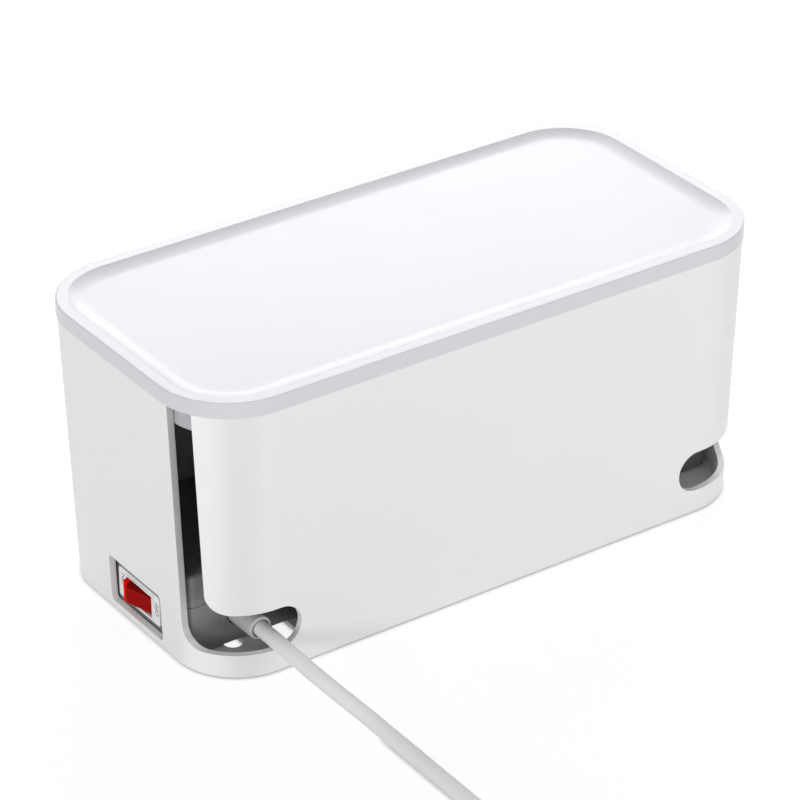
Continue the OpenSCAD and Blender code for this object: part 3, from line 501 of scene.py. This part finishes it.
def mouth_shade(tree, x, y, z):
    """Darkens the mouth of the sleeve, where its bore opens round the cord."""
    off = [number_node(tree, "POWER", number_node(tree, "SUBTRACT", value, centre), 2)
           for value, centre in ((x, cord_exit.x), (z, cord_exit.z))]
    from_bore = number_node(tree, "SQRT", number_node(tree, "ADD", *off))
    return ramp(tree, from_bore, mouth_r, mouth_r + mouth_edge, mouth_tone, 1)


retone(relief_pvc, mouth_shade)
dress("cord_clamp", nylon)
dress("clamp_screws", zinc_steel)


# ---- power cord ----------------------------------------------------------------------------
# A round three-core mains cord, 7.6 mm thick and 1.8 m long, in a matt light grey PVC jacket.
# It drops to the desk in one easy curve, and its spare length is wound into a tied coil.
cord_radius = 0.0038
# the route's points in millimetres, out to the coil and from the coil to the plug
out_of_box = [
    (-124.6, -56.5, 19.6), (-124.6, -62.4, 19.6), (-124.6, -74, 19.6), (-124.7, -84, 19.4),
    (-124.4, -93, 19), (-123.8, -101.5, 17.8), (-122.2, -110.5, 15.8), (-120.2, -117.5, 13.4),
    (-118, -124.5, 10.9), (-116, -131, 8.6), (-114.3, -138, 6.6), (-113.1, -146, 5),
    (-112.3, -154, 4.1), (-112.1, -163, 3.8), (-112.2, -181, 3.8), (-112.3, -207, 3.8),
    (-112.4, -235, 3.8), (-112.4, -262, 3.8)]
to_plug = [(-207.8, -281, 11.5), (-207.8, -272, 11.8), (-207.8, -265, 11.9), (-207.8, -258, 11.9)]
coil_middle, coil_r, row = Vector((-160, -290, 0)), 44, 3.8
turns, per_turn = 5.5, 24
# distance from the middle and height of each turn, and where the cord steps over to the next
wound = [(coil_r + row, row), (coil_r - row, row), (coil_r - row, 3 * row), (coil_r - row, 5 * row),
         (coil_r + row, 5 * row), (coil_r + row, 3 * row)]
step_over = [0.88, 0.76, 0.64, 0.52, 0.40]
step_length = 0.12


def eased(u):
    """Runs from 0 to 1 with a soft start and end."""
    u = min(max(u, 0), 1)
    return u * u * (3 - 2 * u)


coil = []
for i in range(1, int(turns * per_turn)):
    turn, part = divmod(i / per_turn, 1)
    turn = int(turn)
    r, z = wound[turn]
    if turn < len(step_over):
        u = eased((part - step_over[turn]) / step_length)
        r += u * (wound[turn + 1][0] - r)
        z += u * (wound[turn + 1][1] - z)
    angle = -2 * pi * i / per_turn
    coil.append((coil_middle.x + r * cos(angle), coil_middle.y + r * sin(angle), z))
route = [Vector(p) / 1000 for p in out_of_box + coil + to_plug]
cord_curve = bpy.data.curves.new("power_cord", "CURVE")
cord_curve.dimensions = "3D"
cord_curve.bevel_depth = cord_radius
cord_curve.bevel_resolution = 7
cord_curve.resolution_u = 6
cord_curve.use_fill_caps = True
spline = cord_curve.splines.new("BEZIER")
spline.bezier_points.add(len(route) - 1)
for point, spot in zip(spline.bezier_points, route):
    point.co = spot
    point.handle_left_type = point.handle_right_type = "AUTO"
cord = bpy.data.objects.new("cord", cord_curve)
scene.collection.objects.link(cord)
jacket_pvc = moulded("jacket_pvc", (0.84, 0.84, 0.845), 0.5, grain_size=1600, grain=0.12, drift=0.03)
cord_curve.materials.append(jacket_pvc)
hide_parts("power_cord", "cord_coil", "cord_tail")
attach(cord, "box")

# Hook-and-loop strap round the coil, woven from black yarn
woven_strap, given, result = new_group("woven_strap", ("Colour", "Yarn size"),
                                       ("Colour", "Roughness", "Height"))
tree = woven_strap
place = tree.nodes.new("ShaderNodeTexCoord").outputs["Object"]
yarns = []
for direction in ("X", "Z"):
    yarn = shader_node(tree, "ShaderNodeTexWave", Distortion=0.6, Detail=1.0)
    yarn.bands_direction = direction
    tree.links.new(place, yarn.inputs["Vector"])
    tree.links.new(given.outputs["Yarn size"], yarn.inputs["Scale"])
    yarns.append(yarn.outputs["Fac"])
weave = number_node(tree, "MULTIPLY", *yarns)
tree.links.new(weave, result.inputs["Height"])
# the change from the gap between two yarns to their tops, and the value in the gap
yarn_tone, yarn_gloss = (1.2, 0.4), (-0.1, 0.95)
tree.links.new(toned(tree, given.outputs["Colour"], number_node(tree, "MULTIPLY_ADD", weave, *yarn_tone)),
               result.inputs["Colour"])
tree.links.new(number_node(tree, "MULTIPLY_ADD", weave, *yarn_gloss), result.inputs["Roughness"])
tie_weave = finish_from("tie_weave", woven_strap, 0.6, 0.0002,
                        {"Colour": (0.03, 0.03, 0.032), "Yarn size": 900}, Sheen_Weight=0.3)
dress("cord_tie", tie_weave)


# ---- plug ----------------------------------------------------------------------------------
# Moulded onto the cord in the jacket's PVC, with a tapered sleeve for the cord and finger
# grooves in its sides. The blades and the ground pin are nickel-plated brass.
dress("plug_body", jacket_pvc)
nickel = metal("nickel_plate", (0.66, 0.64, 0.58), 0.2, line_size=2500, tarnish=0.15)
dress("plug_blades", nickel)
dress("plug_ground_pin", nickel)


# ---- strip cover ---------------------------------------------------------------------------
# The upper housing of the strip, with six outlets, in the plastic of the base. A fine groove
# runs round the seam, and six screws from below hold it down.
dress("strip_cover", strip_plastic)
break_edges("strip_cover", 0.0003)
dress("housing_screws", zinc_steel)


# ---- lid -----------------------------------------------------------------------------------
# The lift-off tray lid, moulded in ABS a shade cooler and darker than the box. A cove runs
# round the tray, and the skirt under the band drops inside the box wall; the skirt is painted darker, as
# shade.
lid_plastic = moulded("lid_plastic", (0.70, 0.705, 0.742), 0.3)
skirt_h, skirt_edge, skirt_painted_shade = 0.0112, 0.0002, 0.7
skirt_top = min(v.co.z for v in nodes["lid"].data.vertices) + skirt_h
# the skirt below skirt_top is painted darker, as shade
retone(lid_plastic, lambda tree, x, y, z: ramp(tree, z, skirt_top - skirt_edge, skirt_top, skirt_painted_shade, 1))
dress("lid", lid_plastic)
